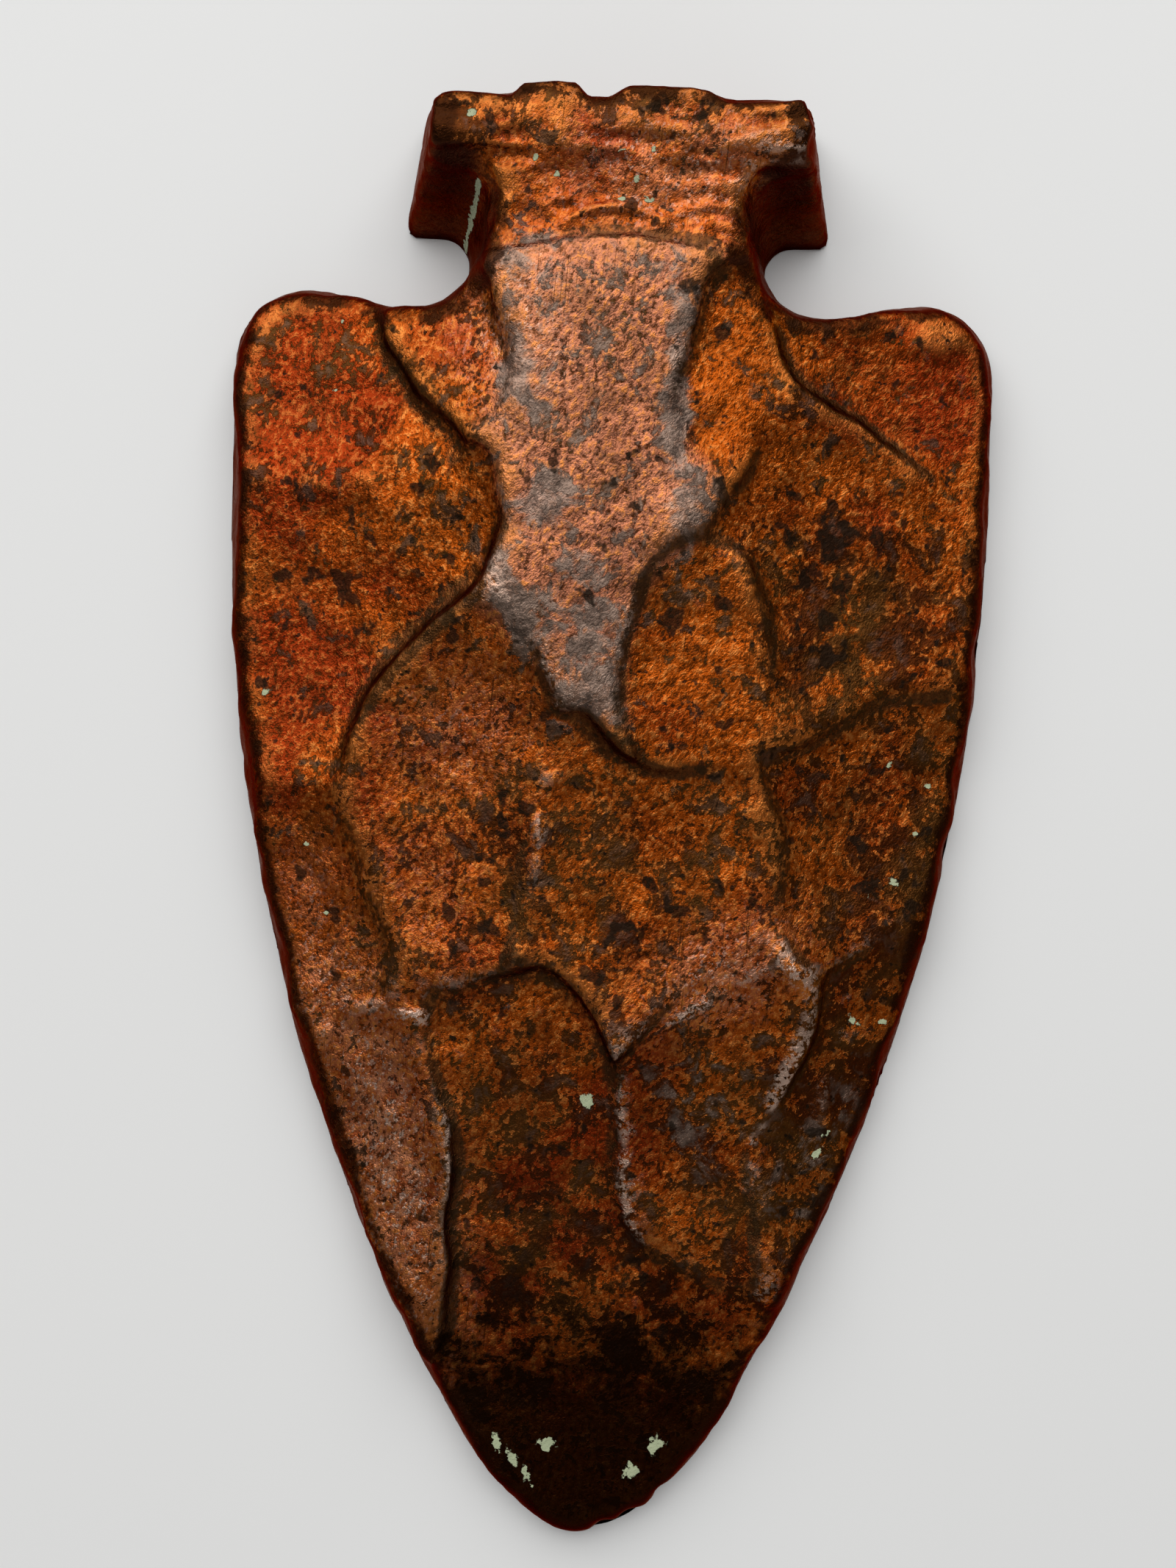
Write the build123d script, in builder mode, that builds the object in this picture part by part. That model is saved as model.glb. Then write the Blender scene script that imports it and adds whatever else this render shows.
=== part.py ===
"""Arrowhead-shaped copper ingot, poured in one piece in an open mould.

The flat back, which was the open face of the mould, lies on the floor. The upper face is worked
like a knapped stone point: a flat spine runs from the stem to the middle of the blade, and round
it dished flake scars step down to a thin edge. The stem carries a T-shaped base flange.

The tip points to -Y, the flange to +Y and the worked face to +Z. The origin is the centre of
the ingot's bounding box on the floor. Lengths are in millimetres and angles in degrees.
"""

import os
from math import cos, radians, sin, sqrt, tan

from build123d import *

# Casting
ingot_thickness = 16.5
mould_draft = 14.5

# Blade outline on the flat back
blade_length = 133.9
blade_width = 82.5
nose_length = 13.3
nose_width = 30.2
shoulder_radius = 7.8
shoulder_run = 14.2

# Notches, stem and base flange; the flange's land is its flat top
notch_gap = 6.0
notch_dip = 1.9
notch_radius = 3.0
stem_width = 32.4
flange_overhang = 7.0
flange_land = 5.5
flange_foot_taper = 2.3
flange_front_corner = 1.2
flange_back_corner = 2.2
flange_edge_round = 0.4

# Saddle across the top of the stem: it starts behind the spine with a bowed edge, and its floor
# rises to a step in front of the flange's land
saddle_depth = 2.0
saddle_length = 8.5
saddle_step = 0.8
saddle_bow_radius = 47.0
saddle_lap = 0.5

# Roughed-out blade: a flat-topped roof along the spine, and a sharper one that falls to the point.
# Drops are below the flange's land, edge heights are those at half the blade's width above the
# floor, and both roofs fall towards the tip.
spine_drop = 1.0
spine_width = 26.0
spine_edge_height = 7.0
spine_fall = 1.2
point_drop = 3.3
point_ridge_width = 3.0
point_edge_height = 9.0
point_roof_place = 68.0
point_fall = 6.0

# Flake scars
scar_dish_radius = 110.0
scar_growth_share = 1.06
cut_overrun = 5.0

# Where the nose's curve passes between the tip and the blade's sides, in shares of its half width
# and its length
nose_bend_shares = (0.51, 0.28)

# Shares of half the blade's width, of its length from the tip, and of the ingot's thickness.
# A scar's floor runs down from its rim, on the spine's side, to its foot. A dish share over 1
# makes a flatter floor.
flake_scar_shares = {
    "left_neck": {
        "rim": (-0.28, 0.91, 0.85),
        "foot": (-0.58, 0.955, 0.62),
        "outline": [
            (-0.64, 1.01), (-0.44, 1.01), (-0.34, 0.985), (-0.29, 0.95), (-0.26, 0.92),
            (-0.28, 0.895), (-0.36, 0.87), (-0.44, 0.88), (-0.55, 0.92), (-0.61, 0.955),
        ],
    },
    "left_shoulder": {
        "rim": (-0.46, 0.875, 0.62),
        "foot": (-0.98, 0.935, 0.355),
        "outline": [
            (-1.06, 1.025), (-0.77, 1.03), (-0.59, 1.01), (-0.60, 0.955), (-0.54, 0.92),
            (-0.43, 0.88), (-0.38, 0.865), (-0.47, 0.845), (-0.65, 0.83), (-0.80, 0.84),
            (-0.95, 0.855), (-1.10, 0.86),
        ],
    },
    "left_body": {
        "rim": (-0.30, 0.81, 0.755),
        "foot": (-0.98, 0.73, 0.355),
        "outline": [
            (-1.10, 0.865), (-0.94, 0.86), (-0.79, 0.84), (-0.65, 0.83), (-0.45, 0.855),
            (-0.35, 0.855), (-0.30, 0.825), (-0.29, 0.795), (-0.33, 0.76), (-0.44, 0.73),
            (-0.54, 0.70), (-0.64, 0.645), (-0.70, 0.595), (-0.85, 0.585), (-1.10, 0.585),
        ],
    },
    "left_edge": {
        "rim": (-0.55, 0.50, 0.48),
        "foot": (-0.86, 0.475, 0.305),
        "outline": [
            (-1.05, 0.595), (-0.85, 0.595), (-0.69, 0.59), (-0.64, 0.555), (-0.58, 0.505),
            (-0.53, 0.46), (-0.57, 0.43), (-0.72, 0.40), (-0.95, 0.39),
        ],
    },
    "left_centre": {
        "rim": (-0.20, 0.68, 0.775),
        "foot": (-0.60, 0.535, 0.555),
        "outline": [
            (-0.34, 0.755), (-0.26, 0.73), (-0.16, 0.68), (-0.14, 0.65), (-0.17, 0.60),
            (-0.20, 0.545), (-0.22, 0.49), (-0.28, 0.44), (-0.40, 0.43), (-0.52, 0.44),
            (-0.57, 0.495), (-0.64, 0.555), (-0.68, 0.605), (-0.64, 0.65), (-0.54, 0.70),
            (-0.44, 0.73),
        ],
    },
    "left_point": {
        "rim": (-0.38, 0.375, 0.55),
        "foot": (-0.66, 0.34, 0.31),
        "outline": [
            (-0.95, 0.40), (-0.71, 0.41), (-0.55, 0.435), (-0.40, 0.435), (-0.36, 0.36),
            (-0.34, 0.25), (-0.34, 0.155), (-0.45, 0.09), (-0.80, 0.225),
        ],
    },
    "point": {
        "rim": (-0.05, 0.43, 0.51),
        "foot": (0.0, 0.0, 0.24),
        "dish_share": 6.0,
        "outline": [
            (-0.38, 0.43), (-0.27, 0.44), (-0.14, 0.45), (0.0, 0.41), (0.06, 0.355),
            (0.09, 0.255), (0.24, 0.225), (0.46, 0.195), (0.62, 0.145), (0.30, -0.05),
            (-0.30, -0.05), (-0.50, 0.09), (-0.36, 0.155), (-0.34, 0.235), (-0.36, 0.34),
        ],
    },
    "right_low": {
        "rim": (0.25, 0.43, 0.565),
        "foot": (0.38, 0.25, 0.405),
        "outline": [
            (0.06, 0.385), (0.18, 0.43), (0.38, 0.475), (0.46, 0.49), (0.61, 0.455),
            (0.56, 0.415), (0.49, 0.37), (0.40, 0.32), (0.42, 0.27), (0.39, 0.21),
            (0.24, 0.22), (0.09, 0.235), (0.06, 0.32),
        ],
    },
    "right_edge": {
        "rim": (0.50, 0.38, 0.40),
        "foot": (0.74, 0.36, 0.255),
        "outline": [
            (0.60, 0.46), (0.76, 0.495), (0.90, 0.525), (1.10, 0.535), (1.05, 0.37),
            (0.60, 0.12), (0.46, 0.18), (0.39, 0.21), (0.41, 0.27), (0.40, 0.315),
            (0.49, 0.37), (0.56, 0.415),
        ],
    },
    "right_centre": {
        "rim": (0.0, 0.625, 0.71),
        "foot": (0.25, 0.455, 0.625),
        "outline": [
            (-0.14, 0.64), (-0.06, 0.655), (0.03, 0.63), (0.14, 0.615), (0.31, 0.62),
            (0.45, 0.625), (0.47, 0.58), (0.47, 0.505), (0.39, 0.475), (0.18, 0.425),
            (0.06, 0.40), (-0.04, 0.415), (-0.14, 0.445), (-0.20, 0.49), (-0.20, 0.55),
            (-0.17, 0.61),
        ],
    },
    "oval": {
        "rim": (0.08, 0.75, 0.83),
        "foot": (0.42, 0.68, 0.71),
        "outline": [
            (0.20, 0.79), (0.33, 0.785), (0.41, 0.76), (0.44, 0.705), (0.42, 0.64),
            (0.32, 0.62), (0.20, 0.61), (0.09, 0.63), (0.04, 0.675), (0.07, 0.735),
        ],
    },
    "right_neck": {
        "rim": (0.18, 0.89, 0.85),
        "foot": (0.43, 0.91, 0.72),
        "outline": [
            (0.27, 0.995), (0.39, 0.995), (0.45, 0.95), (0.44, 0.915), (0.37, 0.87),
            (0.30, 0.815), (0.24, 0.795), (0.19, 0.795), (0.17, 0.85), (0.16, 0.91),
            (0.20, 0.95),
        ],
    },
    "right_shoulder": {
        "rim": (0.45, 0.93, 0.60),
        "foot": (0.98, 0.91, 0.33),
        "outline": [
            (0.41, 1.00), (0.53, 1.02), (0.80, 1.03), (1.08, 1.015), (1.12, 0.82),
            (0.95, 0.83), (0.83, 0.85), (0.62, 0.895), (0.44, 0.93), (0.42, 0.955),
        ],
    },
    "right_body": {
        "rim": (0.42, 0.81, 0.64),
        "foot": (1.0, 0.78, 0.345),
        "outline": [
            (0.43, 0.93), (0.62, 0.895), (0.83, 0.85), (1.10, 0.83), (1.12, 0.68),
            (0.89, 0.675), (0.71, 0.665), (0.57, 0.64), (0.44, 0.615), (0.42, 0.70),
            (0.39, 0.76), (0.33, 0.785), (0.25, 0.795), (0.31, 0.825), (0.37, 0.88),
        ],
    },
    "right_lower": {
        "rim": (0.48, 0.57, 0.55),
        "foot": (0.92, 0.58, 0.285),
        "outline": [
            (0.43, 0.63), (0.57, 0.645), (0.71, 0.67), (0.89, 0.68), (1.12, 0.69),
            (1.10, 0.54), (0.87, 0.515), (0.62, 0.45), (0.58, 0.465), (0.47, 0.495),
            (0.46, 0.58),
        ],
    },
}

# Worked out from the sizes above, with places measured from the tip
half_blade = blade_width / 2
draft_inset = ingot_thickness * tan(radians(mould_draft))
widest_place = blade_length - shoulder_radius - shoulder_run
flange_front = blade_length + notch_gap
ingot_length = flange_front + flange_land + 2 * draft_inset
saddle_rear = flange_front + draft_inset + saddle_lap
saddle_front = saddle_rear - saddle_length
saddle_rise = saddle_depth - saddle_step
saddle_radius = (saddle_length**2 + saddle_rise**2) / (2 * saddle_rise)
spine_rear = saddle_front + saddle_lap


def from_tip(x, place, z=0.0):
    """A point given by its distance from the tip along the ingot's axis."""
    return Vector(x, place - ingot_length / 2, z)


def by_shares(x_share, place_share, z_share=0.0):
    """A point given in shares of half the blade's width, its length and the thickness."""
    return from_tip(x_share * half_blade, place_share * blade_length, z_share * ingot_thickness)


def right_outline(inset):
    """The right half of the outline, from tip to back edge, drawn in by the draft's inset."""
    side = half_blade - inset
    nose_side = nose_width / 2 - inset
    bulge = side - nose_side
    side_run = widest_place - nose_length
    side_radius = (side_run**2 + bulge**2) / (2 * bulge)
    bend_x, bend_place = nose_bend_shares
    nose_bend = from_tip(bend_x * nose_side, inset + bend_place * (nose_length - inset))
    nose_end = from_tip(nose_side, nose_length)

    shoulder_top = blade_length - inset
    shoulder_start = from_tip(side, shoulder_top - shoulder_radius)
    shoulder_end = from_tip(side - shoulder_radius, shoulder_top)

    waist = stem_width / 2 - inset
    front = flange_front + inset
    back = ingot_length - inset
    flange_side = waist + flange_overhang
    foot_taper = flange_foot_taper * (1 - inset / draft_inset)
    front_round = min(flange_front_corner, (flange_overhang - notch_radius) / 2, (back - front) / 3)
    back_round = min(flange_back_corner, (back - front) / 3)
    waist_start = from_tip((waist + side - shoulder_radius) / 2, shoulder_top - notch_dip)
    waist_end = from_tip(waist, front - notch_radius)
    front_start = from_tip(waist + notch_radius, front)
    front_corner = from_tip(flange_side, front)
    back_corner = from_tip(flange_side - foot_taper, back)
    up, right, left = Vector(0, 1), Vector(1, 0), Vector(-1, 0)
    along = (back_corner - front_corner).normalized()
    side_start = front_corner + along * front_round
    side_end = back_corner - along * back_round

    Spline(from_tip(0, inset), nose_bend, nose_end, tangents=[right, (side_run, side_radius - bulge)])
    RadiusArc(nose_end, from_tip(side, widest_place), -side_radius)
    Line(from_tip(side, widest_place), shoulder_start)
    TangentArc(shoulder_start, shoulder_end, tangent=up)
    Spline(shoulder_end, waist_start, waist_end, tangents=[left, up])
    TangentArc(waist_end, front_start, tangent=up)
    Line(front_start, front_corner + left * front_round)
    TangentArc(front_corner + left * front_round, side_start, tangent=right)
    Line(side_start, side_end)
    TangentArc(side_end, back_corner + left * back_round, tangent=along)
    Line(back_corner + left * back_round, from_tip(0, back))


def scar_ball_centre(rim, foot, radius):
    """The centre of the ball that dishes a scar's floor through its rim and its foot."""
    fall = foot - rim
    run = sqrt(fall.X**2 + fall.Y**2)
    lean = Vector(-fall.Z * fall.X / run, -fall.Z * fall.Y / run, run).normalized()
    return (rim + foot) / 2 + lean * sqrt(radius**2 - fall.length**2 / 4)


def flake_cutter(rim, foot, outline, dish_share=1.0):
    """The flake that was struck off: its outline in plan, standing on the dished floor."""
    radius = scar_dish_radius * dish_share
    points = [by_shares(*point) for point in outline]
    middle = sum(points, Vector()) / len(points)
    grown = [middle + (point - middle) * scar_growth_share for point in points]
    with BuildPart() as flake:
        with BuildSketch():
            with BuildLine():
                Spline(*grown, periodic=True)
            make_face()
        extrude(amount=ingot_thickness + cut_overrun)
        with Locations(scar_ball_centre(by_shares(*rim), by_shares(*foot), radius)):
            Sphere(radius, rotation=(90, 0, 0), mode=Mode.INTERSECT)
    return flake.part


def saddle_cutter():
    """What lies above the saddle: a bow-fronted block standing on a cylinder across the stem."""
    half_block = stem_width / 2 + flange_overhang
    bow = saddle_bow_radius - sqrt(saddle_bow_radius**2 - half_block**2)
    front_left = from_tip(-half_block, saddle_front - bow)
    front_right = from_tip(half_block, saddle_front - bow)
    rear_left = from_tip(-half_block, saddle_rear)
    rear_right = from_tip(half_block, saddle_rear)
    with BuildPart() as cutter:
        with BuildSketch():
            with BuildLine():
                ThreePointArc(front_left, from_tip(0, saddle_front), front_right)
                Polyline(front_right, rear_right, rear_left, front_left)
            make_face()
        extrude(amount=ingot_thickness + cut_overrun)
        with Locations(from_tip(0, saddle_front, ingot_thickness - saddle_depth + saddle_radius)):
            Cylinder(saddle_radius, blade_width, rotation=(0, 90, 0), mode=Mode.INTERSECT)
    return cutter.part


def roof_cutter(place, drop, ridge_width, edge_height, fall):
    """What lies above a roof along the blade, which falls to the tip from the given place."""
    ridge_height = ingot_thickness - drop
    half_ridge = ridge_width / 2
    eave = half_blade + cut_overrun
    eave_height = edge_height - cut_overrun * (ridge_height - edge_height) / (half_blade - half_ridge)
    above = 2 * ingot_thickness
    with BuildPart() as cutter:
        with BuildSketch(Plane.XZ.offset(-from_tip(0, place).Y)):
            with BuildLine():
                Polyline((0, ridge_height), (half_ridge, ridge_height), (eave, eave_height), (eave, above))
                Line((eave, above), (0, above))
                mirror(about=Plane.YZ)
            make_face()
        extrude(amount=place + 2 * cut_overrun, dir=(0, -cos(radians(fall)), -sin(radians(fall))))
    return cutter.part


flakes = [flake_cutter(**scar) for scar in flake_scar_shares.values()]
above_saddle = saddle_cutter()
above_spine = roof_cutter(spine_rear, spine_drop, spine_width, spine_edge_height, spine_fall)
above_point = roof_cutter(point_roof_place, point_drop, point_ridge_width, point_edge_height, point_fall)

with BuildPart() as ingot:
    # Blank with the mould's draft, from the floor up to the flange's land
    for height, inset in ((0.0, 0.0), (ingot_thickness, draft_inset)):
        with BuildSketch(Plane.XY.offset(height)):
            with BuildLine():
                right_outline(inset)
                mirror(about=Plane.YZ)
            make_face()
    loft(ruled=True)

    # Saddle, and eased edges round the flange's land that is left behind it
    add(above_saddle, mode=Mode.SUBTRACT)
    land = ingot.faces().filter_by(Axis.Z).sort_by(Axis.Y)[-1]
    fillet(land.edges(), min(flange_edge_round, saddle_step / 2, (flange_land - saddle_lap) / 3))

    # Roughed-out blade and flake scars
    add(above_spine, mode=Mode.SUBTRACT)
    add(above_point, mode=Mode.SUBTRACT)
    add(flakes, mode=Mode.SUBTRACT)

ingot.part.label = "ingot"

os.makedirs("parts", exist_ok=True)
export_step(ingot.part, "parts/ingot.step")
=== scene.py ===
"""Looks of the arrowhead-shaped copper ingot.

One finely meshed skin stands for the CAD node. It keeps the node's shape, rounds its scarps as a
casting's are, and carries the fine relief. Lengths are in millimetres until they reach Blender, and
angles are in degrees. A pair of values is the low and the high end of a soft step.
"""

from math import cos, radians, sin, tan

import bmesh
import bpy
import numpy as np
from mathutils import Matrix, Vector, kdtree, noise


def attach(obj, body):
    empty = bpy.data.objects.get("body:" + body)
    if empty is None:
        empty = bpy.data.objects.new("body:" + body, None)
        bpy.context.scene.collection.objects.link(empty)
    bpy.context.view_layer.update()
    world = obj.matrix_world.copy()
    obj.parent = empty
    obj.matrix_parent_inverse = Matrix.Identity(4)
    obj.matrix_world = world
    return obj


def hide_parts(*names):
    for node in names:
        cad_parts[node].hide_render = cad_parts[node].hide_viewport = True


MM = 0.001

# Camera: straight above the ingot, fitted to the photo
camera_x = -1.5
camera_y = 4.1
camera_height = 187.5
camera_turn = 1.68
camera_clip = 10
photo_height_px = 2133
focal_px = 2339
sensor_width = 36.0

# Mesh of the skin. Faces lower than the floor height become one, and a face that points down is flat
voxel_size = 0.42
weld_distance = 0.001
floor_height = 0.3 * voxel_size
floor_normal = -0.99

# How many times places and values are spread over their neighbours
edge_rounding_steps = 7
foot_rounding_steps = 12
scarp_rounding_steps = 34
land_flow_steps = 110
scarp_band_steps = 13
around_steps = 120
steepness_steps = 3
narrow_steps = 20
relief_steps = 80
spine_blur_steps = 8

# Flange, with its land and where the land runs into the stem, in plan
wall_draft = 14.5
land_front_y = 67.2
flange_start_y = land_front_y - 6
flange_crisp_y = land_front_y - 3
soft_land_front = (0, land_front_y, 10, 3, 0)
flowing_land_front = (0, land_front_y, 9, 3.5, 0)

# Spine: a plateau that falls a little towards the tip, with a round rear end
spine_middle_x = -0.5
spine_rear_y = 59.6
spine_rear_radius = 38.2
spine_height = 15.5
spine_fall = 1.2
spine_tip_y = 10.0
spine_half_width = 15.0
spine_rim = (-1.1, -0.5)

# Scarps and outline: how they are found and rounded, and how far the scarps wander
scarp_tilt = (10, 35)
blade_floor = 3.0
blade_inset = (0.6, 1.6)
edge_reach = (0.2, 2.2)
sharp_foot = (1.5, 4.0)
held_foot = (0.3, 1.2)
scarp_wander = 0.45
wander_grain = 5.0
wander_starts = (0.4, 6.9)

# Casting relief: grain size and height of each layer of unevenness
relief_layers = [(14.0, 0.25), (5.0, 0.22), (2.2, 0.11), (1.1, 0.05)]
layer_shift = 7.3
relief_fade = (0.2, 1.2)
mark_normal = 0.3

# Creases across the stem and the flange's land
stem_y = (56, 62)
stem_z = (10, 13)
flange_grain = 2.2
flange_relief = 0.32
flange_stretch = 2.4
crease_level = 0.5
crease_depth = 2

# Crescent behind the spine: a raised arc with a groove behind it
crescent_x = -0.4
crescent_y = 52.7
crescent_radius = 9.4
crescent_middle_x = -0.3
crescent_front_y = 58
crescent_height = 0.34
crescent_half_width = 0.5
crescent_ends = (4.2, 6.0)
moat_offset = 1.1
moat_depth = 0.20
moat_half_width = 0.6
moat_ends = (4.2, 6.5)

# Groove along the spine's rear end
groove_depth = 0.22
groove_half_width = 0.5
groove_ends = (10, 13)

# Bosses and hollows in plan: x, y, half length, half width, turn, height
relief_marks = [
    (24.3, -29.6, 2.6, 0.9, 88, 0.60),
    (-5.1, 4.6, 0.8, 0.6, 20, 0.25),
    (-6.4, 0.0, 0.9, 0.5, 75, 0.28),
    (-6.2, -1.5, 0.7, 0.5, 60, 0.22),
    (-6.5, -3.9, 1.3, 0.5, 85, 0.25),
    (4.5, -11.9, 0.9, 0.6, 60, -0.40),
    (4.8, -13.7, 0.7, 0.5, 30, -0.35),
    (27.3, -20.1, 1.0, 0.7, 40, -0.30),
    (29.0, 31.0, 3.5, 1.6, 20, 0.30),
    (33.0, 51.5, 2.6, 1.8, 10, 0.50),
    (25.5, 52.5, 2.4, 1.5, -10, 0.45),
    (-28.9, -23.4, 1.3, 0.9, 40, 0.35),
    (-24.4, -19.9, 2.4, 1.0, 15, 0.45),
    (-19.0, -20.6, 2.6, 0.9, -5, 0.40),
    (9.0, -19.4, 7.0, 1.0, 31, 0.35),
    (20.4, -14.6, 2.8, 0.9, -47, 0.35),
    (20.6, -24.0, 5.5, 0.9, 69, 0.35),
]

# Scarps that keep more of their edge, in plan: x, y, half length, half width, turn, share kept
sharp_scarps = [
    (-22, 48, 9, 9, 0, 0.6),
    (-11, 40, 4, 8, 0, 0.4),
    (24, 46, 12, 8, -30, 0.7),
    (15, 37, 4, 8, -20, 0.6),
    (6, 22, 6, 6, 0, 0.4),
    (20, -28, 6, 8, 0, 0.5),
    (-14, -38, 3, 16, 4, 0.6),
    (0, -22, 12, 5, 0, 0.5),
    (-19, 16, 8, 10, 40, 0.4),
    (8, 6, 9, 4, 0, 0.4),
    (5, -36, 4, 12, 0, 0.4),
]

# Scarps with little dirt and painted shade in them, in plan: x, y, half length, half width, turn, how
# faint they are
faint_scarps = [
    (-10, 52, 4, 10, 0, 1.0),
    (-13, 36, 4, 6, 0, 0.8),
    (-28, 0, 5, 10, 0, 0.7),
    (14, 2, 4, 8, 0, 0.8),
    (6, 45, 4, 8, 0, 0.6),
    (-4, -21, 9, 4, 0, 1.2),
    (3.5, -38, 2.5, 12, 0, 1.2),
    (13, -54, 13, 5, -30, 1.2),
    (-20, -20, 9, 3, 0, 0.6),
]

# Remains of the pour on the back edge of the flange's land: x, half width, how far they stick out
pour_lumps = [(-7.3, 3.4, 1.2), (4.5, 5.2, 1.0)]
lump_flat_share = 0.7
lump_end_share = 1.2
lump_rise_share = 0.2
lump_z = (12.0, 15.6)
lump_y = (land_front_y + 2.0, land_front_y + 5.0)

# Chips on the blade's foot: x, y, reach, depth
edge_chips = [
    (2.6, -76.0, 1.4, 0.9), (5.6, -75.0, 1.5, 1.2), (9.0, -71.8, 1.2, 0.6),
    (40.9, 20.0, 1.8, 0.4), (38.2, -2.0, 2.2, 0.4),
]
chip_fade = (-0.1, 0.1)

# Oxide dirt and painted shade in the scarps: how much, and how it leans towards their lower side
usual_dirt_and_shade = 0.70
sharp_scarp_dirt_and_shade = 0.30
faint_scarp_dirt_and_shade = -0.40
lower_side_limit = 0.2
lower_side_share = 0.7
dirt_and_shade_band = (0.02, 0.45)
dirt_and_shade_fade = (0.01, 0.10)

# What counts as a wall, the foot, a worn place with a painted highlight and a rim with painted
# highlights
wall_tilt = (35, 60)
wall_reach = (0.3, 0.8)
foot_height = (0.3, 2.0)
worn_and_highlit_height = (0.08, 0.35)
rim_height = (0.02, 0.09)
rim_tilt = (40, 55)

# Weathering, painted shade and highlights in plan: x, y, half length, half width, turn, strength
reddened = [
    (-35, 43, 14, 14, 0, 1.6),
    (0, 74.3, 22, 3.2, 0, 1.4),
    (0, 70, 20, 4, 0, 0.6),
    (-31, 18, 9, 18, 0, 0.9),
    (-5, -40, 12, 16, 0, 0.8),
    (-38, 0, 5, 24, 0, 0.9),
    (33, 46, 12, 11, 0, 1.0),
    (41, 12, 4, 30, 0, 0.7),
    (-32, -24, 6, 12, 20, 0.6),
]
oxidised = [
    (23, 24, 8, 10, -35, 1.0),
    (30, -6, 8, 12, 0, 0.5),
    (-27, 25, 6, 7, -20, 0.8),
    (-9, -4, 2.5, 9, 5, 1.0),
    (-15, -12, 5, 6, 0, 0.7),
    (7, 21, 2.5, 4, 30, 0.8),
    (10, 8, 5, 4, 0, 0.5),
    (3, -12, 8, 6, 0, 0.7),
    (-16, 42, 4, 5, 0, 0.4),
    (2, 70.5, 14, 3, 0, 0.8),
]
# Browned: more brown oxide, partly real and partly painted shade that darkens these places
browned_and_shaded = [
    (24, -32, 8, 18, -25, 1.4),
    (33, -8, 8, 18, -10, 1.3),
    (26, 20, 10, 14, -30, 1.1),
    (12, -30, 10, 10, 0, 0.9),
    (2, -4, 7, 8, 0, 0.5),
    (-9, -4, 3, 14, 5, 0.8),
    (-2, -46, 15, 14, 0, 0.7),
    (-7, -32, 8, 10, 0, 0.7),
    (0, 75.0, 22, 2.2, 0, 1.3),
    (-18, 70.5, 3, 5, 0, 1.3),
    (18.5, 70.0, 3, 5, 0, 1.3),
]
cleaned = [
    (34, 48, 9, 9, 0, 1.0),
    (-16, 47, 5, 8, 0, 0.4),
    (12, 44, 4, 9, 0, 1.0),
    (-33, 8, 6, 12, 0, 0.3),
    (-29, 24, 8, 14, 0, 0.6),
    (30, 38, 10, 8, 0, 0.4),
    (-30, -8, 4, 10, 0, 1.0),
    (-12, 9, 7, 8, 0, 0.5),
    (0, 63, 14, 6, 0, 1.0),
    (9, 14, 6, 9, 0, 0.6),
    (-12, 30, 4, 8, 0, 0.5),
]
# Soot on the point, which is partly dark oxide and partly painted shade
blackened_and_shaded = [
    (0, -76, 36, 23, 0, 1.2),
    (12, -58, 8, 6, 30, 0.6),
]
# Polish: partly rubbed copper, partly a painted reflection that brightens these places
polished_and_lit = [
    (-21, -36, 4.5, 17, 14, 1.0),
    (-10, 50, 5, 8, 0, 0.5),
    (5, 66, 12, 6, 0, 0.4),
    (-19, -8, 7, 10, 0, 0.12),
    (13, -15, 7, 4, 30, 0.6),
    (-15, 9, 7, 7, 0, 0.25),
    (-30.6, -8.7, 3.5, 6, 0, 0.25),
    (-28, -20, 4, 8, 15, 0.6),
]
# Painted highlights along worn rims
worn_rim_highlights = [
    (-10.8, 22, 1.8, 6, 15, 0.6),
    (-6.1, 0.3, 1.4, 6, 0, 0.4),
    (-7.5, 16, 2, 5, 30, 1.0),
    (5, 21, 2.5, 7, -35, 1.0),
    (6.8, 38, 1.5, 9, 0, 0.6),
    (-17, -20, 8, 2.5, 10, 1.0),
    (-14, -37, 1.5, 14, 4, 0.9),
    (21, -26, 3, 12, -28, 1.0),
    (3.6, -36, 1.5, 10, 5, 0.9),
    (10, -19.4, 10, 2, 31, 0.9),
    (20.4, -14.6, 4, 2, -47, 0.9),
    (22, -50, 4, 3, -30, 0.8),
    (17, 67, 6, 2, 0, 0.7),
]
greyed = [
    (-9.8, 45.5, 2.4, 3.4, 15, 1.0),
    (-7.0, 32.2, 3.0, 2.4, 0, 0.9),
    (6.4, 44, 1.2, 11, 3, 0.9),
    (7.4, 31, 1.6, 3.5, 0, 0.9),
    (-10.4, 23.5, 1.4, 4.5, 20, 0.9),
    (-1.6, 12.5, 3.2, 2.6, 0, 1.0),
    (-9.5, 57, 3, 2.5, 0, 0.6),
    (-3.0, 26, 2.4, 2.0, 0, 0.7),
    (-3.0, 19, 5.0, 5.0, 0, 0.40),
    (24, -36, 4, 8, -28, 0.5),
    (11, -29, 6, 8, 0, 0.35),
]

# Green line down the corner of the left notch: its two ends and half width
notch_line = ((-14.3, 65.5, 12.2), (-16.4, 61.7, 0.8), 0.45)

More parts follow.
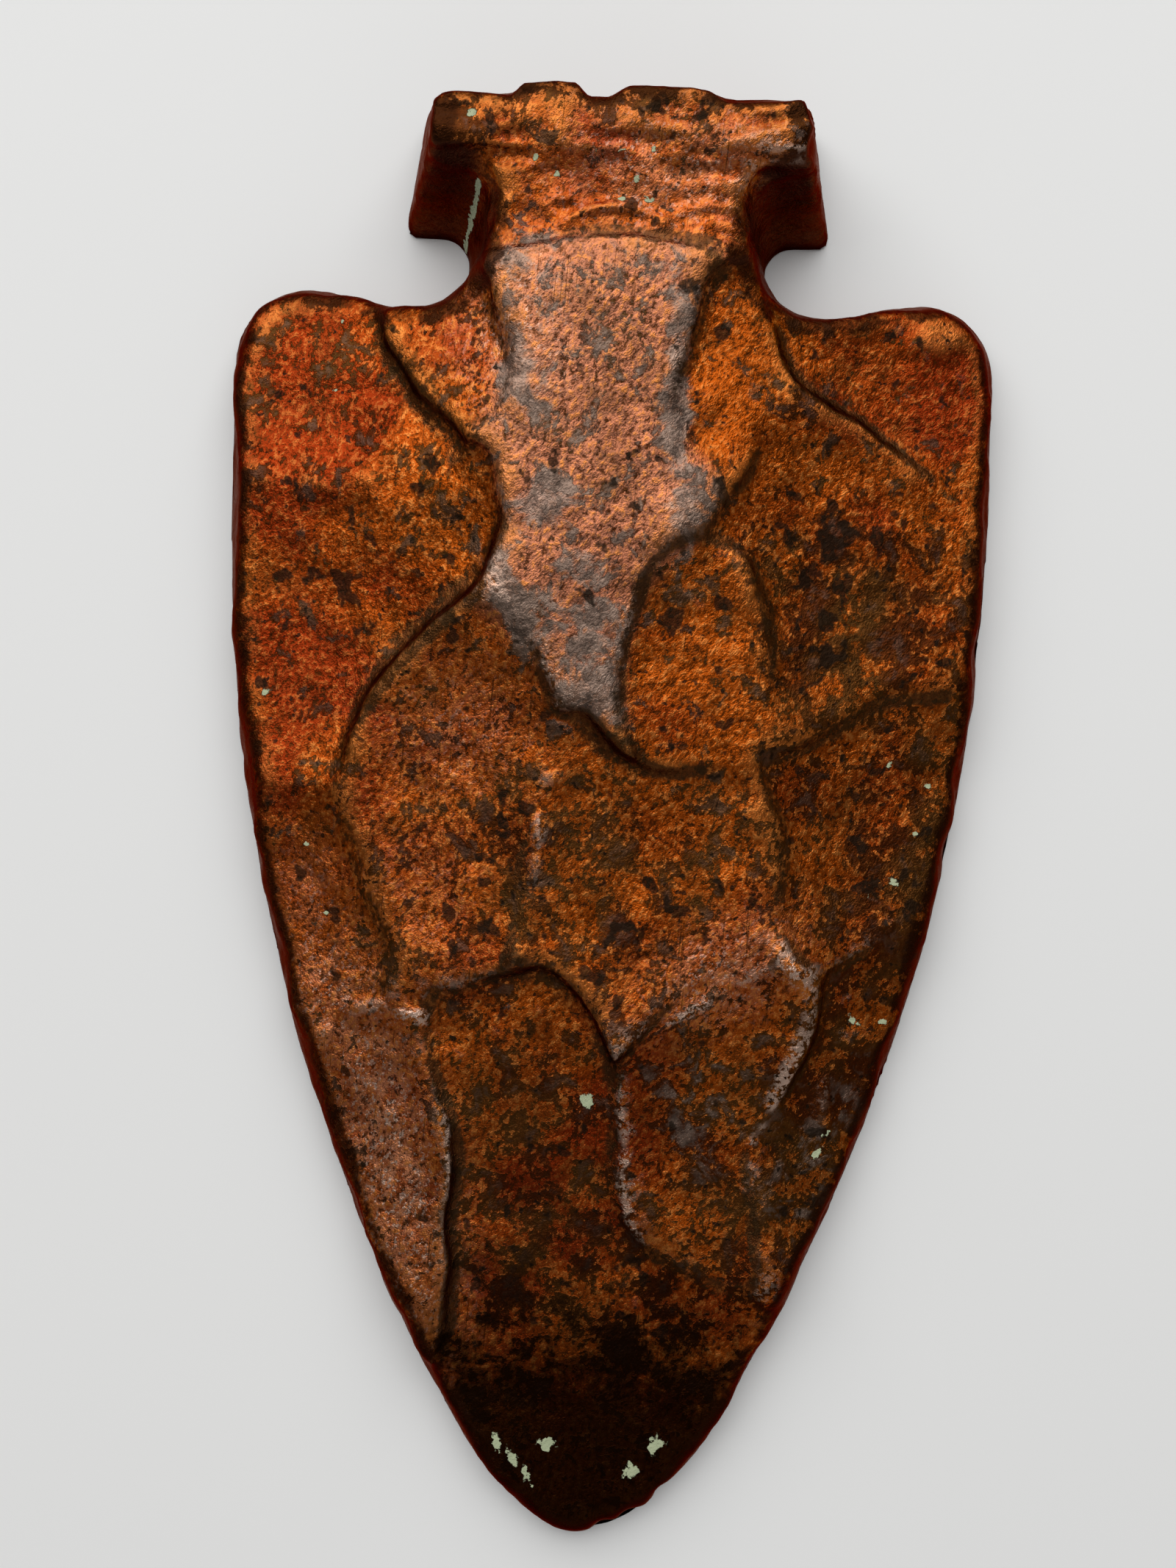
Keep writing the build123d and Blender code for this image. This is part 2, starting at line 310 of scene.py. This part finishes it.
# Verdigris specks in plan: x, y, half length, half width, turn
verdigris_specks = [
    (-0.7, -29.1, 0.75, 0.95, 10), (-9.2, -66.4, 0.6, 1.3, 25), (-7.6, -67.6, 0.5, 1.4, 25),
    (-5.8, -69.8, 0.5, 1.3, 25), (-3.8, -66.2, 1.1, 0.8, 20), (7.7, -65.9, 1.3, 0.8, 50),
    (5.2, -68.9, 0.8, 1.3, -20), (27.3, -20.1, 0.9, 0.4, -50), (30.5, -20.2, 0.5, 0.4, 0),
    (24.9, -32.2, 0.6, 0.4, 30), (23.9, -34.3, 0.9, 0.4, 40), (30.2, 7.0, 0.5, 0.3, 60),
    (34.5, 4.9, 0.5, 0.3, 30), (33.3, 0.0, 0.6, 0.4, 70), (30.9, -5.3, 0.9, 0.35, -50),
    (28.3, -6.7, 0.4, 0.3, 0), (-35.8, 12.8, 0.55, 0.5, 0), (-30.8, -3.1, 0.4, 0.35, 0),
    (-28.8, -10.3, 0.4, 0.3, 0), (-28.6, 52.0, 0.35, 0.3, 0), (-29.1, 44.6, 0.35, 0.3, 0),
    (-8.7, 66.7, 0.3, 0.3, 0), (-2.8, 67.4, 0.35, 0.3, 0), (0.1, 67.5, 0.35, 0.3, 0),
    (3.2, 67.8, 0.35, 0.3, 0), (-6.4, 65.2, 0.4, 0.25, 0), (1.6, 64.8, 0.45, 0.35, 0),
    (2.8, 63.0, 0.6, 0.25, -10), (0.1, 63.0, 0.35, 0.2, 0), (-15.0, 70.5, 0.45, 0.4, 0),
]

# Paper and room
paper_size = 900
paper_white = (0.92, 0.92, 0.91)
paper_roughness = 0.9
backdrop_white = (0.8, 0.8, 0.79)
room_light = 0.16

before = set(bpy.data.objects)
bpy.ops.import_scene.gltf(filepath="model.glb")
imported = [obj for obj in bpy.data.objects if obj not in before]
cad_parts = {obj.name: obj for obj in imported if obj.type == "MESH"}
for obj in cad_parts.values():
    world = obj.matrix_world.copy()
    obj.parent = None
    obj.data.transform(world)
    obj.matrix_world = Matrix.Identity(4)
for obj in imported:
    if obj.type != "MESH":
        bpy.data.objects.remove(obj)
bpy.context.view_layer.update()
scene = bpy.context.scene


def fine_copy(node, name):
    """An even, closed quad mesh over a CAD node, as a new object with one face on the floor."""
    mesh = node.data.copy()
    shell = bmesh.new()
    shell.from_mesh(mesh)
    bmesh.ops.remove_doubles(shell, verts=shell.verts, dist=weld_distance * MM)
    shell.to_mesh(mesh)
    piece = bpy.data.objects.new(name, mesh)
    scene.collection.objects.link(piece)
    voxels = piece.modifiers.new("voxels", "REMESH")
    voxels.mode = "VOXEL"
    voxels.voxel_size = voxel_size * MM
    graph = bpy.context.evaluated_depsgraph_get()
    fine = bpy.data.meshes.new_from_object(piece.evaluated_get(graph))
    piece.modifiers.clear()
    shell.clear()
    shell.from_mesh(fine)
    lowest = floor_height * MM
    bottom = [face for face in shell.faces if all(vert.co.z < lowest for vert in face.verts)]
    bmesh.ops.dissolve_faces(shell, faces=bottom, use_verts=True)
    for face in shell.faces:
        face.smooth = face.normal.z > floor_normal
    shell.to_mesh(fine)
    shell.free()
    piece.data = fine
    fine.materials.clear()
    return piece


def ease(values, low, high):
    """0 below the low value, 1 above the high one, and a soft step between."""
    share = np.clip((values - low) / (high - low), 0, 1)
    return share * share * (3 - 2 * share)


def ridge(distances, half_width):
    """1 on a line, falling softly to 0 beside it."""
    return np.exp(-(distances / half_width) ** 2)


def angles(cosines):
    """The angles that have these cosines."""
    return np.degrees(np.arccos(np.clip(cosines, -1, 1)))


class Skin:
    """The vertices of a mesh as arrays in millimetres, with their neighbours."""

    def __init__(self, mesh):
        self.mesh = mesh
        count = len(mesh.vertices)
        places = np.empty(count * 3)
        mesh.vertices.foreach_get("co", places)
        self.places = places.reshape(-1, 3) / MM
        ends = np.empty(len(mesh.edges) * 2, dtype=np.int64)
        mesh.edges.foreach_get("vertices", ends)
        self.first, self.second = ends.reshape(-1, 2).T

    def blurred(self, values, steps, chosen=None):
        """Values spread over their neighbours a number of times, all over or on chosen vertices."""
        first, second = self.first, self.second
        if chosen is not None:
            inside = chosen[first] & chosen[second]
            first, second = first[inside], second[inside]
        count = len(self.places)
        degree = np.bincount(first, minlength=count) + np.bincount(second, minlength=count)
        columns = np.atleast_2d(values.T).copy()
        for column in columns:
            for _ in range(steps):
                total = np.bincount(first, column[second], count)
                total += np.bincount(second, column[first], count)
                mean = np.divide(total, degree, out=column.copy(), where=degree > 0)
                column[:] = 0.5 * (column + mean)
        return columns.T.reshape(values.shape)

    def normals(self):
        """The vertex normals of the places as they are now."""
        self.mesh.vertices.foreach_set("co", (self.places * MM).ravel())
        self.mesh.update()
        normals = np.empty(len(self.places) * 3)
        self.mesh.vertices.foreach_get("normal", normals)
        return normals.reshape(-1, 3)

    def standing_out(self, normals, steps):
        """How far each place stands out from the places around it."""
        return np.sum((self.places - self.blurred(self.places, steps)) * normals, axis=1)

    def keep(self, name, values):
        """Stores one value for each vertex, for the material."""
        layer = self.mesh.attributes.new(name, "FLOAT", "POINT")
        layer.data.foreach_set("value", values.astype(np.float32))


def inside_by(places, rim):
    """How far inside the outline each place is in plan, from the places on the rim."""
    tree = kdtree.KDTree(len(rim))
    for index, place in enumerate(rim):
        tree.insert((place[0], place[1], 0), index)
    tree.balance()
    return np.array([tree.find((place[0], place[1], 0))[2] for place in places])


def unevenness(places, grain, start):
    """Smooth noise of one grain size at each place, about -1 to 1."""
    return np.array([noise.noise(Vector(place) / grain + start) for place in places])


def dome(places, x, y, half_length, half_width, turn):
    """1 at the middle of an ellipse in plan, falling softly to 0 outside it."""
    across, along = places[:, 0] - x, places[:, 1] - y
    c, s = cos(radians(turn)), sin(radians(turn))
    lengthwise = (across * c + along * s) / half_length
    widthwise = (along * c - across * s) / half_width
    return np.exp(-(lengthwise ** 2 + widthwise ** 2))


def patches(places, marks):
    """The strongest of a list of marks in plan at each place."""
    return np.max([mark[5] * dome(places, *mark[:5]) for mark in marks], axis=0)


def stripe(places, start, end, half_width):
    """1 on a straight line between two places, falling softly to 0 beside it."""
    offset, run = places - start, np.subtract(end, start)
    share = np.clip(offset @ run / (run @ run), 0, 1)
    beside = np.linalg.norm(offset - share[:, None] * run, axis=1)
    return ridge(beside, half_width)


piece = fine_copy(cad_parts["ingot"], "ingot_skin")
skin = Skin(piece.data)

# Where the scarps of the flake scars are: places on the blade's upper face that tilt away from those
# around them. The brink is how far inside the drafted wall a place is in plan
_, y, z = skin.places.T
normals = skin.normals()
around = skin.blurred(normals, around_steps)
around /= np.linalg.norm(around, axis=1)[:, None]
turned = angles(np.sum(normals * around, axis=1))
on_floor = z < 0.5 * voxel_size
brink = inside_by(skin.places, skin.places[on_floor]) - tan(radians(wall_draft)) * z
on_flange = y > flange_start_y
on_blade = (z > blade_floor) * ~on_flange * ease(brink, *blade_inset)
scarp_band = skin.blurred(ease(turned, *scarp_tilt) * on_blade, scarp_band_steps)
near_edge = 1 - ease(brink, *edge_reach)

# The outline on the floor, without the steps of the voxels
skin.places = skin.blurred(skin.places, foot_rounding_steps, on_floor)

# Rounded scarps and edges, here softer and there sharper. The foot and the flange's edges stay
# sharper, but not where the flange's land runs into the stem
crisp = ease(y, flange_start_y, flange_crisp_y) * (1 - dome(skin.places, *soft_land_front))
crisp = np.maximum(crisp, 1 - ease(z, *sharp_foot))
own_share = np.maximum(crisp, patches(skin.places, sharp_scarps))[:, None]
flowing = dome(skin.places, *flowing_land_front)[:, None]
loose = ease(z, *held_foot)[:, None]
wander = [unevenness(skin.places, wander_grain, Vector((start, 3.3, 8.2))) for start in wander_starts]
little = skin.blurred(skin.places, edge_rounding_steps)
much = skin.blurred(little, scarp_rounding_steps - edge_rounding_steps)
rounded = own_share * little + (1 - own_share) * much
rounded += flowing * (skin.blurred(much, land_flow_steps) - rounded)
rounded[:, :2] += scarp_wander * (1 - crisp[:, None]) * np.transpose(wander)
skin.places = skin.places * (1 - loose) + rounded * loose
skin.places[on_floor, 2] = 0.0

# Casting relief, which fades out at the floor
normals = skin.normals()
x, y, z = skin.places.T
lift = np.zeros(len(x))
for step, (grain, height) in enumerate(relief_layers):
    lift += height * unevenness(skin.places, grain, Vector((step * layer_shift, 1.7, 4.1)))
on_stem = ease(y, *stem_y) * ease(z, *stem_z)
creases = unevenness(skin.places / (flange_stretch, 1, 1), flange_grain, Vector((3.1, 9.4, 0.6)))
lift += flange_relief * on_stem * (crease_level - crease_depth * np.abs(creases))
for mark in relief_marks:
    lift += mark[5] * dome(skin.places, *mark[:5]) * (normals[:, 2] > mark_normal)
crescent = np.hypot(x - crescent_x, y - crescent_y) - crescent_radius
aside = np.abs(x - crescent_middle_x)
at_rear = y > crescent_front_y
raised = 1 - ease(aside, *crescent_ends)
lift += crescent_height * ridge(crescent, crescent_half_width) * raised * at_rear
sunk = 1 - ease(aside, *moat_ends)
lift -= moat_depth * ridge(crescent - moat_offset, moat_half_width) * sunk * at_rear
behind = np.hypot(x - spine_middle_x, y - spine_rear_y + spine_rear_radius) - spine_rear_radius
grooved = 1 - ease(np.abs(x), *groove_ends)
lift -= groove_depth * ridge(behind, groove_half_width) * grooved * (y > spine_tip_y)
skin.places += normals * (lift * ease(z, *relief_fade))[:, None]

# Remains of the pour, and chips. x, y and z follow the places as they move
for lump_x, half_width, reach in pour_lumps:
    swell = 1 - ease(np.abs(x - lump_x), lump_flat_share * half_width, lump_end_share * half_width)
    swell = swell * ease(z, *lump_z) * ease(y, *lump_y)
    skin.places[:, 1] += reach * swell
    skin.places[:, 2] += lump_rise_share * reach * swell
for chip_x, chip_y, reach, depth in edge_chips:
    bite = depth * dome(skin.places, chip_x, chip_y, reach, reach, 0) * ease(z, *chip_fade)
    skin.places[:, :2] -= normals[:, :2] * bite[:, None]
    skin.places[:, 2] -= np.clip(normals[:, 2], 0, 1) * bite

# What the material needs to know about the shape
normals = skin.normals()
x, y, z = skin.places.T
steep = angles(skin.blurred(normals[:, 2], steepness_steps))
narrow = skin.standing_out(normals, narrow_steps)
relief = skin.standing_out(normals, relief_steps)
spine_level = spine_height - tan(radians(spine_fall)) * (spine_rear_y - y)
on_spine = ease(z - spine_level, *spine_rim) * (np.abs(x) < spine_half_width)
on_spine *= (y > spine_tip_y) * (behind < 0)
lower_side = np.clip(relief, -lower_side_limit, lower_side_limit)
# The scarps' dark band is partly oxide dirt and partly painted shade, heavier on their lower, hollow
# side
dirt_and_shade = usual_dirt_and_shade + sharp_scarp_dirt_and_shade * patches(skin.places, sharp_scarps)
dirt_and_shade += faint_scarp_dirt_and_shade * patches(skin.places, faint_scarps)
dirt_and_shade *= ease(scarp_band - lower_side_share * lower_side, *dirt_and_shade_band)
skin.keep("scarp", dirt_and_shade * ease(scarp_band, *dirt_and_shade_fade))
skin.keep("wall", ease(steep, *wall_tilt) * ease(near_edge, *wall_reach))
away = 1 - near_edge * ~on_flange
# Standing-out places: partly bare worn copper, partly a painted highlight
skin.keep("worn_and_highlit", ease(relief, *worn_and_highlit_height) * away)
level = 1 - ease(steep, *rim_tilt)
# Painted highlights on the rims
skin.keep("worn_rim_highlights", ease(narrow, *rim_height) * away * level * patches(skin.places, worn_rim_highlights))
skin.keep("edge", near_edge)
# The foot, darkened towards the floor: partly the casting's dark foot, partly painted contact shade
skin.keep("foot", 1 - ease(z, *foot_height))
skin.keep("spine", skin.blurred(on_spine, spine_blur_steps))
for name, marks in (("reddened", reddened), ("oxidised", oxidised), ("browned_and_shaded", browned_and_shaded),
                    ("cleaned", cleaned), ("blackened_and_shaded", blackened_and_shaded), ("polished_and_lit", polished_and_lit),
                    ("greyed", greyed)):
    skin.keep(name, patches(skin.places, marks))
specks = patches(skin.places, [(*speck, 1.0) for speck in verdigris_specks])
skin.keep("verdigris", np.maximum(specks, stripe(skin.places, *notch_line)))

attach(piece, "root")
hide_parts("ingot")


class Nodes:
    """Short-hand for the nodes of one material. A value is a number, a colour or an output."""

    def __init__(self, material):
        material.use_nodes = True
        self.tree = material.node_tree
        self.shader = self.tree.nodes["Principled BSDF"]
        place = self.add("ShaderNodeTexCoord").outputs["Object"]
        in_mm = self.add("ShaderNodeVectorMath", operation="SCALE")
        self.feed(in_mm.inputs[0], place)
        self.feed(in_mm.inputs["Scale"], 1 / MM)
        self.place = in_mm.outputs["Vector"]

    def add(self, kind, **settings):
        """A new node with its settings."""
        node = self.tree.nodes.new(kind)
        for name, value in settings.items():
            setattr(node, name, value)
        return node

    def feed(self, socket, value):
        """Links an output to a socket, or sets a constant on it."""
        if isinstance(value, bpy.types.NodeSocket):
            self.tree.links.new(value, socket)
        elif isinstance(value, tuple) and len(value) == 3 and socket.type == "RGBA":
            socket.default_value = (*value, 1)
        else:
            socket.default_value = value

    def math(self, operation, first, second=0.0, third=0.0):
        """The result of a sum with two or three values."""
        node = self.add("ShaderNodeMath", operation=operation)
        self.feed(node.inputs[0], first)
        self.feed(node.inputs[1], second)
        self.feed(node.inputs[2], third)
        return node.outputs["Value"]

    def known(self, name):
        """A value stored on the skin."""
        return self.add("ShaderNodeAttribute", attribute_name=name).outputs["Fac"]

    def noise(self, grain, detail, roughness, stretch=(1, 1, 1), turn=0, distortion=0.0):
        """Noise of a grain size in millimetres, about 0 to 1."""
        mapping = self.add("ShaderNodeMapping", vector_type="TEXTURE")
        self.feed(mapping.inputs["Vector"], self.place)
        mapping.inputs["Rotation"].default_value = (0, 0, radians(turn))
        mapping.inputs["Scale"].default_value = stretch
        node = self.add("ShaderNodeTexNoise")
        self.feed(node.inputs["Vector"], mapping.outputs["Vector"])
        node.inputs["Scale"].default_value = 1 / grain
        node.inputs["Detail"].default_value = detail
        node.inputs["Roughness"].default_value = roughness
        node.inputs["Distortion"].default_value = distortion
        return node.outputs["Fac"]

    def step(self, value, low, high, start=0.0, end=1.0):
        """A soft step from one value to another."""
        node = self.add("ShaderNodeMapRange", interpolation_type="SMOOTHSTEP")
        for name, given in zip(("Value", "From Min", "From Max", "To Min", "To Max"),
                               (value, low, high, start, end)):
            self.feed(node.inputs[name], given)
        return node.outputs["Result"]

    def mix(self, share, first, second):
        """The first colour, with a share of the second laid over it."""
        node = self.add("ShaderNodeMix", data_type="RGBA")
        self.feed(node.inputs["Factor"], share)
        self.feed(node.inputs[6], first)
        self.feed(node.inputs[7], second)
        return node.outputs[2]

    def bump(self, height, distance, below=None):
        """A normal tilted by a height in millimetres."""
        node = self.add("ShaderNodeBump")
        node.inputs["Distance"].default_value = distance * MM
        self.feed(node.inputs["Height"], height)
        if below is not None:
            self.feed(node.inputs["Normal"], below)
        return node.outputs["Normal"]


orange = (0.42, 0.075, 0.005)
bright_orange = (0.74, 0.25, 0.052)
red = (0.26, 0.026, 0.004)
pink = (0.50, 0.190, 0.104)
pink_brown = (0.15, 0.066, 0.042)
brown = (0.075, 0.020, 0.004)
olive_brown = (0.070, 0.031, 0.008)
red_brown = (0.050, 0.014, 0.004)
rose = (0.85, 0.35, 0.18)
dark_oxide = (0.016, 0.011, 0.007)
scarp_dirt_and_shade_brown = (0.056, 0.028, 0.011)
wall_red = (0.130, 0.040, 0.020)
wall_brown = (0.045, 0.016, 0.009)
rim_brown = (0.030, 0.009, 0.003)
# Near black for the point's soot and the dark foot, partly painted shade
soot_and_shade = (0.009, 0.003, 0.001)
# Colour of the painted highlights on rims and of the painted sparkle
highlight_silver_pink = (0.75, 0.52, 0.40)
spine_grey = (0.28, 0.195, 0.150)
shaded_grey = (0.13, 0.092, 0.072)
verdigris_green = (0.46, 0.52, 0.33)
edge_tint = (0.55, 0.24, 0.14)

material = bpy.data.materials.new("cast_copper")
n = Nodes(material)
spine = n.known("spine")
polish_and_light = n.known("polished_and_lit")
brush = {"stretch": (1, 1.5, 1), "turn": -35}

# Noise by grain size, detail and roughness, from wide stains to fine grains that lie one way
clouds = n.noise(9, 3, 0.5)
mottle = n.noise(3.2, 6, 0.66, distortion=0.4)
blobs = n.noise(2.4, 3, 0.45)
grain = n.noise(0.6, 3, 0.72, **brush)
fine_grain = n.noise(0.25, 2, 0.6, **brush)

# Bare copper: orange, redder where it is stained, pink and tarnished on the spine and rosy where it is
# polished and lit by a painted reflection, with bright and dull grains, painted sparkle and scratches
redness = n.math("ADD", n.known("reddened"), n.step(clouds, 0.40, 0.70, -0.3, 0.5))
copper = n.mix(n.step(redness, -0.2, 1.0), orange, red)
copper = n.mix(n.math("MULTIPLY", spine, 0.85), copper, pink)
tarnish = n.step(n.noise(1.7, 4, 0.7, distortion=0.5), 0.47, 0.56, 0.0, 0.6)
copper = n.mix(n.math("MULTIPLY", spine, tarnish), copper, pink_brown)
streaks = n.step(n.noise(1.4, 4, 0.7, **brush), 0.40, 0.60, 0.15, 0.85)
# Rosy streaks where polished: partly polish, partly a painted reflection
copper = n.mix(n.math("MULTIPLY", polish_and_light, streaks), copper, rose)
calm = n.math("MAXIMUM", redness, n.known("cleaned"))
glint = n.math("MULTIPLY", n.step(grain, 0.50, 0.66), n.step(calm, 0.0, 1.0, 0.75, 0.35))
copper = n.mix(glint, copper, bright_orange)
copper = n.mix(n.step(grain, 0.36, 0.50, 0.85, 0.0), copper, brown)
# Brighter on standing-out places: partly wear, partly a painted highlight
copper = n.mix(n.math("MULTIPLY", n.known("worn_and_highlit"), 0.45), copper, bright_orange)
sparkle = n.step(n.noise(0.5, 2, 0.75, **brush), 0.55, 0.64, 0.0, 0.9)
# Painted sparkle highlights on the polished places
copper = n.mix(n.math("MULTIPLY", polish_and_light, sparkle), copper, highlight_silver_pink)
scratches = n.step(n.noise(0.8, 1, 0.5, stretch=(0.2, 9, 9), turn=-4), 0.64, 0.74, 0.0, 0.7)
copper = n.mix(scratches, copper, brown)

# Brown oxide: a soft cloud all over, and patches that the brighter grains stick out of
# Browned places thicken the oxide, partly as painted shade; polished places thin it, partly as painted
# light
cleaning_and_light = n.math("MULTIPLY", n.math("MAXIMUM", polish_and_light, n.known("cleaned")), -0.12)
stain_and_shade = n.math("MULTIPLY_ADD", n.known("browned_and_shaded"), 0.10, cleaning_and_light)
brown_oxide = n.mix(n.step(clouds, 0.4, 0.6), olive_brown, red_brown)
veil = n.step(n.math("ADD", n.noise(5.5, 4, 0.55, distortion=0.4), stain_and_shade), 0.40, 0.70, 0.0, 0.40)
copper = n.mix(veil, copper, brown_oxide)
browning = n.math("ADD", n.math("ADD", mottle, stain_and_shade), n.step(grain, 0.3, 0.7, 0.07, -0.07))
browning = n.step(browning, 0.515, 0.57, 0.0, 0.87)
copper = n.mix(browning, copper, brown_oxide)

# Grey film, most of it on the spine, and black oxide in blobs and pores
grey = n.math("ADD", n.known("greyed"), n.step(mottle, 0.35, 0.65, -0.45, 0.45))
grey = n.math("ADD", grey, n.math("MULTIPLY", spine, 0.28))
smooth_grey = n.mix(n.step(n.noise(1.3, 3, 0.65), 0.42, 0.60), spine_grey, shaded_grey)
copper = n.mix(n.step(grey, 0.30, 0.85, 0.0, 0.85), copper, smooth_grey)
darkening = n.math("ADD", blobs, n.math("MULTIPLY", n.known("oxidised"), 0.14))
dark = n.step(darkening, 0.65, 0.70)
pores = n.step(n.noise(0.8, 1, 0.5), 0.68, 0.73)
pores = n.math("MULTIPLY", pores, n.step(spine, 0.0, 1.0, 1.0, 0.25))
copper = n.mix(n.math("MULTIPLY", n.math("MAXIMUM", dark, pores), 0.85), copper, dark_oxide)

# Scarp dirt, point soot, dark foot, each with painted shade; darker outline; brown walls; painted rim
# highlights
# The scarps' dark band: partly oxide dirt, partly painted shade
ragged = n.math("ADD", n.known("scarp"), n.step(mottle, 0.3, 0.7, 0.25, -0.25))
ragged = n.math("ADD", ragged, n.step(grain, 0.3, 0.7, 0.15, -0.15))
band = n.step(ragged, 0.30, 0.75, 0.0, 0.82)
copper = n.mix(band, copper, scarp_dirt_and_shade_brown)
# Soot on the point: partly dark oxide, partly painted shade
blackening_and_shade = n.math("ADD", n.known("blackened_and_shaded"), n.step(mottle, 0.3, 0.7, -0.25, 0.25))
copper = n.mix(n.step(blackening_and_shade, 0.10, 0.70, 0.0, 0.95), copper, soot_and_shade)
# Darker along the outline
outline_darkening = n.math("ADD", n.known("edge"), n.step(mottle, 0.3, 0.7, -0.30, 0.30))
copper = n.mix(n.step(outline_darkening, 0.55, 1.0, 0.0, 0.90), copper, rim_brown)
speckle = n.math("MULTIPLY_ADD", grain, 0.4, mottle)
wall = n.mix(n.step(speckle, 0.45, 0.95), wall_brown, wall_red)
copper = n.mix(n.math("MULTIPLY", n.known("wall"), 0.90), copper, wall)
# Dark foot at the floor: partly the casting's own colour, partly painted contact shade
copper = n.mix(n.math("MULTIPLY", n.known("foot"), 0.8), copper, soot_and_shade)
broken = n.step(n.noise(0.9, 3, 0.75), 0.46, 0.54, 0.0, 0.9)
# Painted highlights on the rims, broken up by noise
copper = n.mix(n.math("MULTIPLY", n.known("worn_rim_highlights"), broken), copper, highlight_silver_pink)

# Verdigris: a pale crust, which isn't metal
crust = n.math("ADD", n.known("verdigris"), n.step(n.noise(0.8, 3, 0.6), 0.3, 0.7, -0.3, 0.3))
crust = n.step(crust, 0.46, 0.60)
copper = n.mix(crust, copper, verdigris_green)

n.feed(n.shader.inputs["Base Color"], copper)
n.feed(n.shader.inputs["Metallic"], n.step(crust, 0.0, 1.0, 1.0, 0.0))
n.feed(n.shader.inputs["Specular Tint"], edge_tint)
roughness = n.step(mottle, 0.3, 0.7, 0.26, 0.40)
roughness = n.math("MULTIPLY_ADD", n.math("MAXIMUM", dark, crust), 0.2, roughness)
n.feed(n.shader.inputs["Roughness"], roughness)
normal = n.bump(grain, 0.17)
normal = n.bump(fine_grain, 0.04, normal)
normal = n.bump(browning, 0.06, normal)
n.feed(n.shader.inputs["Normal"], n.bump(crust, 0.15, normal))
piece.data.materials.append(material)

# Sheet of paper
bpy.ops.mesh.primitive_plane_add(size=paper_size * MM)
floor = bpy.context.object
floor.name = "paper_floor"
paper = bpy.data.materials.new("paper")
paper.use_nodes = True
paper_shader = paper.node_tree.nodes["Principled BSDF"]
paper_shader.inputs["Base Color"].default_value = (*paper_white, 1)
paper_shader.inputs["Roughness"].default_value = paper_roughness
floor.data.materials.append(paper)

# Dim white light from all round, and a pale backdrop that only the camera sees
world = bpy.data.worlds.new("studio")
scene.world = world
world.use_nodes = True
room = world.node_tree
dim = room.nodes["Background"]
dim.inputs["Color"].default_value = (1, 1, 1, 1)
dim.inputs["Strength"].default_value = room_light
backdrop = room.nodes.new("ShaderNodeBackground")
backdrop.inputs["Color"].default_value = (*backdrop_white, 1)
seen = room.nodes.new("ShaderNodeLightPath").outputs["Is Camera Ray"]
either = room.nodes.new("ShaderNodeMixShader")
for socket, output in zip(either.inputs, (seen, dim.outputs[0], backdrop.outputs[0])):
    room.links.new(output, socket)
room.links.new(either.outputs[0], room.nodes["World Output"].inputs["Surface"])


def softbox(name, place, aim, width, depth, strength):
    """A rectangular area lamp that faces a point."""
    lamp = bpy.data.lights.new(name, "AREA")
    lamp.shape = "RECTANGLE"
    lamp.size = width * MM
    lamp.size_y = depth * MM
    lamp.energy = strength
    box = bpy.data.objects.new(name, lamp)
    box.location = Vector(place) * MM
    box.rotation_euler = (Vector(aim) * MM - box.location).to_track_quat("-Z", "Y").to_euler()
    scene.collection.objects.link(box)


softbox("window", (-160, 820, 840), aim=(-20, 20, 0), width=2200, depth=1400, strength=19.0)
softbox("fill", (300, -950, 520), aim=(0, 0, 0), width=1400, depth=700, strength=0.7)
softbox("overhead", (-100, 60, 1400), aim=(-20, 0, 0), width=1000, depth=800, strength=1.3)

camera_data = bpy.data.cameras.new("camera")
camera_data.sensor_width = sensor_width
camera_data.lens = focal_px / photo_height_px * sensor_width
camera_data.clip_start = camera_clip * MM
camera = bpy.data.objects.new("camera", camera_data)
camera.location = Vector((camera_x, camera_y, camera_height)) * MM
camera.rotation_euler = (0, 0, radians(camera_turn))
scene.collection.objects.link(camera)
scene.camera = camera
scene.view_settings.view_transform = "Standard"
